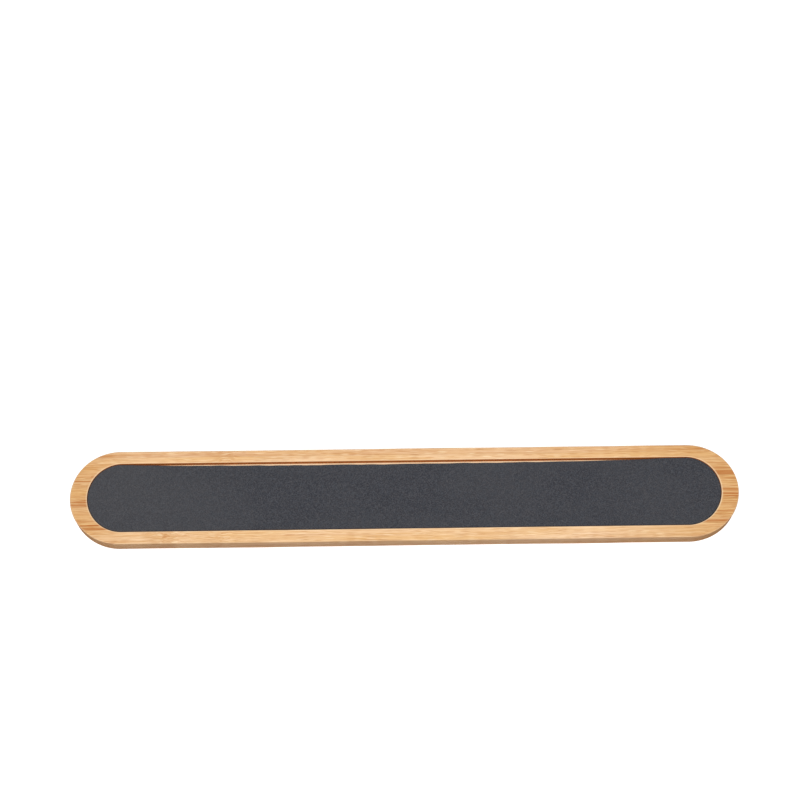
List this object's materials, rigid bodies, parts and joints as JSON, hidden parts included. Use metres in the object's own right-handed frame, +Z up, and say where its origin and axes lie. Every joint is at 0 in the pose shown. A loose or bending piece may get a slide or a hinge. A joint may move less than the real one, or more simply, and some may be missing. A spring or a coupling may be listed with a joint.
{
  "type": "leather strop",
  "caption": "Slim round-ended bamboo board with a dark leather strip inlaid in a shallow pocket, for honing small carving blades by hand.",
  "frame": {"origin": "centre of the board's flat back face, where it lies on a bench", "axes": "+X along the board, +Y across it towards the edge where the leather is cut short, +Z up out of the leather's face"},
  "size_m": [0.21, 0.03, 0.007],
  "materials": {
    "bamboo": "satin",
    "adhesive": "satin",
    "leather": "matte"
  },
  "bodies": {
    "root": {"front_edge_strip": "bamboo", "front_strip": "bamboo", "centre_strip": "bamboo", "rear_strip": "bamboo", "rear_edge_strip": "bamboo", "adhesive_film": "adhesive", "leather_strip": "leather"}
  },
  "joints": []
}
